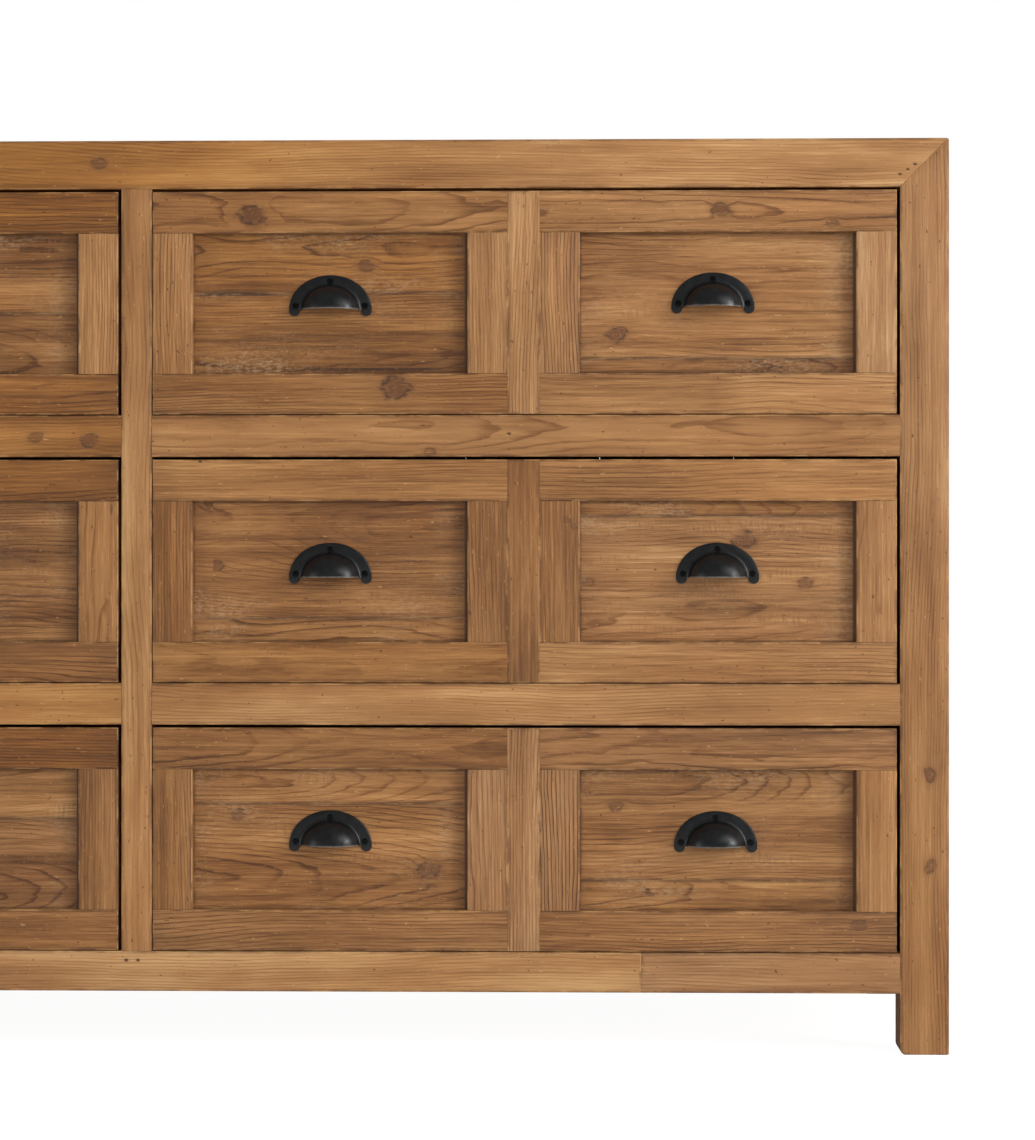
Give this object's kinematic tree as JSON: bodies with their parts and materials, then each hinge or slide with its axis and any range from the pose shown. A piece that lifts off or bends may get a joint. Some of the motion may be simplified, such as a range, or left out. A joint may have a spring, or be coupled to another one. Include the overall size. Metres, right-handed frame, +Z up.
{
  "type": "chest of drawers",
  "caption": "Wide solid pine chest with framed panel drawer fronts, black cast cup pulls, a mitred top frame and short square legs.",
  "frame": {"origin": "on the floor, under the middle of the bounding box, cup pulls included", "axes": "+X to the right along the width, +Y from the drawer fronts to the back, +Z up"},
  "size_m": [1.6, 0.4954, 0.9],
  "materials": {
    "frame_pine": "waxed reclaimed pine",
    "top_pine": "waxed reclaimed pine",
    "side_pine": "waxed reclaimed pine",
    "front_pine": "waxed reclaimed pine",
    "panel_pine": "waxed reclaimed pine",
    "inner_pine": "bare planed pine",
    "back_pine": "bare sawn pine",
    "bottom_ply": "bare thin board",
    "black_iron": "satin black",
    "black_steel": "satin black"
  },
  "bodies": {
    "carcass": {"post_front_left": "frame_pine", "post_front_right": "frame_pine", "post_back_left": "frame_pine", "post_back_right": "frame_pine", "top_rail_front": "frame_pine", "top_rail_back": "frame_pine", "top_rail_left": "frame_pine", "top_rail_right": "frame_pine", "top_boards": "top_pine", "bottom_rail_front": "frame_pine", "bottom_rail_back": "frame_pine", "bottom_rail_left": "frame_pine", "bottom_rail_right": "frame_pine", "center_stile": "frame_pine", "center_partition": "inner_pine", "mid_rails": "frame_pine", "side_boards_left": "side_pine", "side_boards_right": "side_pine", "back_boards": "back_pine", "runners_left": "inner_pine", "runners_center": "inner_pine", "runners_right": "inner_pine", "drawer_stops": "inner_pine"},
    "drawer_top_left": {"drawer_top_left_front_frame": "front_pine", "drawer_top_left_front_panels": "panel_pine", "drawer_top_left_box": "inner_pine", "drawer_top_left_bottom": "bottom_ply", "drawer_top_left_cup_pulls": "black_iron", "drawer_top_left_pull_screws": "black_steel"},
    "drawer_middle_left": {"drawer_middle_left_front_frame": "front_pine", "drawer_middle_left_front_panels": "panel_pine", "drawer_middle_left_box": "inner_pine", "drawer_middle_left_bottom": "bottom_ply", "drawer_middle_left_cup_pulls": "black_iron", "drawer_middle_left_pull_screws": "black_steel"},
    "drawer_bottom_left": {"drawer_bottom_left_front_frame": "front_pine", "drawer_bottom_left_front_panels": "panel_pine", "drawer_bottom_left_box": "inner_pine", "drawer_bottom_left_bottom": "bottom_ply", "drawer_bottom_left_cup_pulls": "black_iron", "drawer_bottom_left_pull_screws": "black_steel"},
    "drawer_top_right": {"drawer_top_right_front_frame": "front_pine", "drawer_top_right_front_panels": "panel_pine", "drawer_top_right_box": "inner_pine", "drawer_top_right_bottom": "bottom_ply", "drawer_top_right_cup_pulls": "black_iron", "drawer_top_right_pull_screws": "black_steel"},
    "drawer_middle_right": {"drawer_middle_right_front_frame": "front_pine", "drawer_middle_right_front_panels": "panel_pine", "drawer_middle_right_box": "inner_pine", "drawer_middle_right_bottom": "bottom_ply", "drawer_middle_right_cup_pulls": "black_iron", "drawer_middle_right_pull_screws": "black_steel"},
    "drawer_bottom_right": {"drawer_bottom_right_front_frame": "front_pine", "drawer_bottom_right_front_panels": "panel_pine", "drawer_bottom_right_box": "inner_pine", "drawer_bottom_right_bottom": "bottom_ply", "drawer_bottom_right_cup_pulls": "black_iron", "drawer_bottom_right_pull_screws": "black_steel"}
  },
  "joints": [
    {"name": "drawer_top_left_slide", "type": "slide", "parent": "carcass", "child": "drawer_top_left", "axis": [0, -1, 0], "range_m": [0, 0.32]},
    {"name": "drawer_middle_left_slide", "type": "slide", "parent": "carcass", "child": "drawer_middle_left", "axis": [0, -1, 0], "range_m": [0, 0.32]},
    {"name": "drawer_bottom_left_slide", "type": "slide", "parent": "carcass", "child": "drawer_bottom_left", "axis": [0, -1, 0], "range_m": [0, 0.32]},
    {"name": "drawer_top_right_slide", "type": "slide", "parent": "carcass", "child": "drawer_top_right", "axis": [0, -1, 0], "range_m": [0, 0.32]},
    {"name": "drawer_middle_right_slide", "type": "slide", "parent": "carcass", "child": "drawer_middle_right", "axis": [0, -1, 0], "range_m": [0, 0.32]},
    {"name": "drawer_bottom_right_slide", "type": "slide", "parent": "carcass", "child": "drawer_bottom_right", "axis": [0, -1, 0], "range_m": [0, 0.32]}
  ]
}
